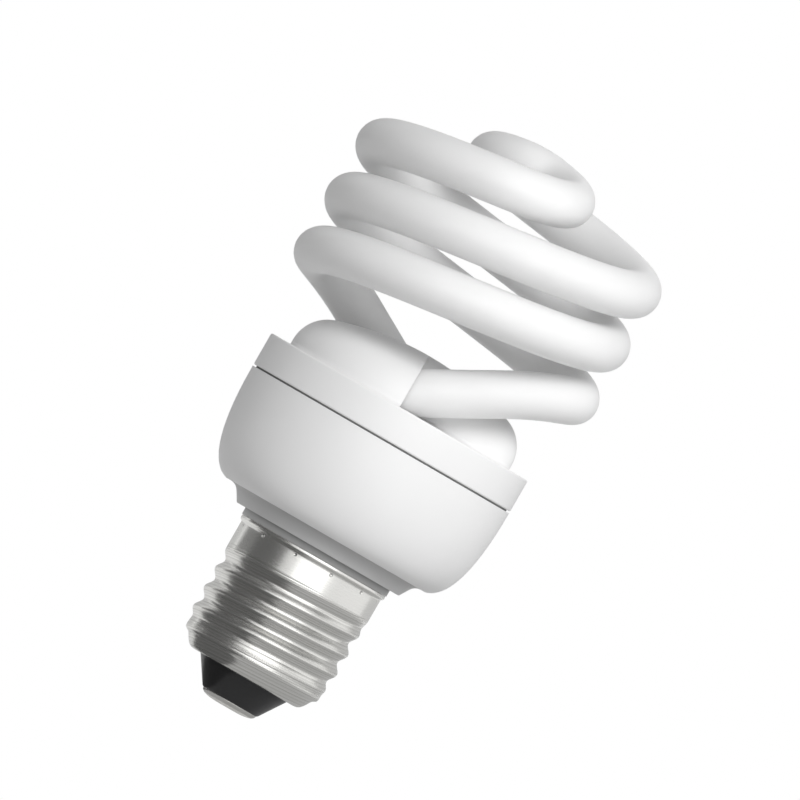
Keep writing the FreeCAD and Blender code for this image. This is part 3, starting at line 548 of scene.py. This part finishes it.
compound = grained("sealing_compound", (0.85, 0.83, 0.76), (0.76, 0.73, 0.64), 0.0015, 0.6, 0.0001)
dressed(["tube_sealant_1", "tube_sealant_2"], compound)
laminate = grained("paper_laminate", (0.55, 0.36, 0.15), (0.47, 0.29, 0.11), 0.002, 0.5)
dressed(["circuit_board"], laminate)
sleeve = grained("can_sleeve", (0.02, 0.025, 0.05), (0.015, 0.018, 0.035), 0.003, 0.3)
dressed(["storage_capacitor"], sleeve)
dip = grained("film_capacitor_dip", (0.42, 0.07, 0.03), (0.34, 0.05, 0.02), 0.002, 0.28, 0.00003)
dressed(["resonant_capacitor", "coupling_capacitor"], dip)
ferrite = grained("ferrite", (0.06, 0.06, 0.065), (0.035, 0.035, 0.04), 0.0006, 0.55)
dressed(["choke_core_1", "choke_core_2", "inductor_core"], ferrite)
former = grained("bobbin_plastic", (0.78, 0.74, 0.60), (0.72, 0.67, 0.52), 0.002, 0.45)
dressed(["choke_bobbin"], former)
enamel = grained("enamelled_copper", (0.66, 0.25, 0.09), (0.5, 0.17, 0.06), 0.0005, 0.28, 0.00005,
                 metallic=1.0)
dressed(["choke_winding", "inductor_winding", "feedback_winding_1", "feedback_winding_2",
         "feedback_winding_3"], enamel)
ring_paint = grained("ring_paint", (0.03, 0.16, 0.07), (0.02, 0.11, 0.05), 0.001, 0.4)
dressed(["feedback_ring"], ring_paint)
epoxy = grained("black_epoxy", (0.02, 0.02, 0.02), (0.03, 0.03, 0.03), 0.0004, 0.5)
dressed(["transistor_1", "transistor_2"] + ["rectifier_diode_" + str(k) for k in range(1, 5)], epoxy)
lacquer = grained("resistor_lacquer", (0.66, 0.48, 0.27), (0.58, 0.40, 0.20), 0.001, 0.3)
dressed(["base_resistor_1", "base_resistor_2", "emitter_resistor_1", "emitter_resistor_2",
         "start_resistor"], lacquer)
fuse_lacquer = grained("fuse_lacquer", (0.10, 0.24, 0.14), (0.07, 0.18, 0.10), 0.001, 0.35)
dressed(["fusible_resistor"], fuse_lacquer)
diac_glass = grained("diac_glass", (0.03, 0.08, 0.30), (0.02, 0.05, 0.22), 0.001, 0.15)
dressed(["diac"], diac_glass)
disc_coat = grained("thermistor_coating", (0.03, 0.10, 0.05), (0.02, 0.07, 0.03), 0.0012, 0.35)
dressed(["thermistor"], disc_coat)
tin = grained("tinned_wire", (0.74, 0.73, 0.70), (0.62, 0.61, 0.58), 0.0006, 0.3, metallic=1.0)
dressed([kind + str(k) for kind in ("wire_pin_", "filament_lead_") for k in range(1, 5)], tin)
insulation = grained("lead_insulation", (0.80, 0.79, 0.74), (0.74, 0.72, 0.66), 0.002, 0.4)
dressed(["live_lead", "neutral_lead"], insulation)

# Studio. A plain pale floor that the cap's contact stands on, a white background and two soft lamps.
# Dark and grey cards that only reflections see give the bright cap its bands, and a bright one
# gives it the light of a window in front.

white = (1.0, 1.0, 1.0, 1.0)
black = (0.0, 0.0, 0.0)
floor_tone = (0.62, 0.62, 0.62)
floor_veil = (0.42, 0.42, 0.42)
floor_width = 1.6
surround_strength = 0.36
stage_roughness = 0.8
upright_z = 0.30
upright_height = 0.62
ceiling_z = 0.61
floor_card_z = 0.0004
dark_glow = 0.11
back_glow = 0.55
lamp_aim = (0, 0, 0.05)
shot_tilt = math.radians(30)
shot_centre = Vector((-0.000523, 0, 0.05789))
shot_distance = 0.6
shot_width = 0.1312

world = bpy.data.worlds.new("studio")
bpy.context.scene.world = world
world.use_nodes = True
background = world.node_tree.nodes["Background"]
background.inputs["Color"].default_value = white
rays = world.node_tree.nodes.new("ShaderNodeLightPath")
seen = rays.outputs["Is Camera Ray"]
for kind in ("Is Glossy Ray", "Is Transmission Ray"):
    either = world.node_tree.nodes.new("ShaderNodeMath")
    either.operation = "MAXIMUM"
    world.node_tree.links.new(seen, either.inputs[0])
    world.node_tree.links.new(rays.outputs[kind], either.inputs[1])
    seen = either.outputs[0]
strength = world.node_tree.nodes.new("ShaderNodeMath")
strength.operation = "MULTIPLY_ADD"
strength.inputs[1].default_value = 1 - surround_strength
strength.inputs[2].default_value = surround_strength
world.node_tree.links.new(seen, strength.inputs[0])
world.node_tree.links.new(strength.outputs[0], background.inputs["Strength"])


def stage_plane(name, centre, facing, width, height, paint):
    """A flat plane of the studio: not part of the lamp."""
    mesh = bpy.data.meshes.new(name)
    w, h = width / 2, height / 2
    mesh.from_pydata([(-w, -h, 0), (w, -h, 0), (w, h, 0), (-w, h, 0)], [], [(0, 1, 2, 3)])
    plane = bpy.data.objects.new(name, mesh)
    plane.matrix_world = (Matrix.Translation(centre)
                          @ Vector(facing).to_track_quat("Z", "Y").to_matrix().to_4x4())
    bpy.context.collection.objects.link(plane)
    mesh.materials.append(paint.material)
    return plane


floor_paint = Finish("floor", floor_tone, stage_roughness, emission_strength=1.0)
seen = sum(floor_paint.node("LightPath", {}, {}, kind)
           for kind in ("Is Camera Ray", "Is Glossy Ray", "Is Transmission Ray"))
floor_paint.set("Emission Color", floor_paint.between(black, floor_veil, seen))
stage_plane("floor", (0, 0, 0), (0, 0, 1), floor_width, floor_width, floor_paint)

for name, centre, facing, width, height, glow in (
        ("left_card", (-0.394, -0.068, upright_z), (0.985, 0.17, 0), 0.80, upright_height, dark_glow),
        ("left_floor_card", (-0.205, -0.131, floor_card_z), (0, 0, 1), 0.40, 0.278, dark_glow),
        ("right_floor_card", (0.145, -0.07, floor_card_z), (0, 0, 1), 0.30, 0.40, 0.42),
        ("left_top_card", (-0.45, 0, ceiling_z), (0, 0, -1), 0.80, 0.90, dark_glow),
        ("overhead_card", (0.30, 0, ceiling_z), (0, 0, -1), 0.70, 0.90, 0.30),
        ("back_left_card", (-0.20, 0.50, upright_z), (0.2, -0.5, 0), 0.45, upright_height, back_glow),
        ("back_right_card", (0.32, 0.50, upright_z), (-0.3, -0.5, 0), 0.60, upright_height, back_glow),
        ("front_window", (0.12, -0.64, upright_z), (-0.12, 0.64, 0), 0.62, upright_height, 1.9)):
    paint = Finish(name, black, stage_roughness, emission_color=white, emission_strength=glow)
    card = stage_plane(name, centre, facing, width, height, paint)
    for ray in ("camera", "diffuse", "transmission", "shadow"):
        setattr(card, "visible_" + ray, False)


def soft_lamp(name, place, size, power):
    """A square lamp turned to the middle of the object, and not seen in reflections."""
    light = bpy.data.lights.new(name, "AREA")
    light.size = size
    light.energy = power
    lamp = bpy.data.objects.new(name, light)
    lamp.location = place
    lamp.rotation_mode = "QUATERNION"
    lamp.rotation_quaternion = (Vector(lamp_aim) - Vector(place)).to_track_quat("-Z", "Y")
    lamp.visible_glossy = False
    bpy.context.collection.objects.link(lamp)


soft_lamp("key", (0.115, -0.490, 0.38), size=0.24, power=2.25)
soft_lamp("right_fill", (0.475, -0.127, 0.394), size=0.30, power=0.8)

camera = bpy.data.objects.new("camera", bpy.data.cameras.new("camera"))
camera.data.type = "ORTHO"
camera.data.ortho_scale = shot_width
right = Vector((math.cos(shot_tilt), 0, math.sin(shot_tilt)))
up = Vector((-math.sin(shot_tilt), 0, math.cos(shot_tilt)))
back = Vector((0, -1, 0))
turn = Matrix((right, up, back)).transposed().to_4x4()
camera.matrix_world = Matrix.Translation(shot_centre + back * shot_distance) @ turn
bpy.context.collection.objects.link(camera)
bpy.context.scene.camera = camera
bpy.context.scene.view_settings.view_transform = "Standard"
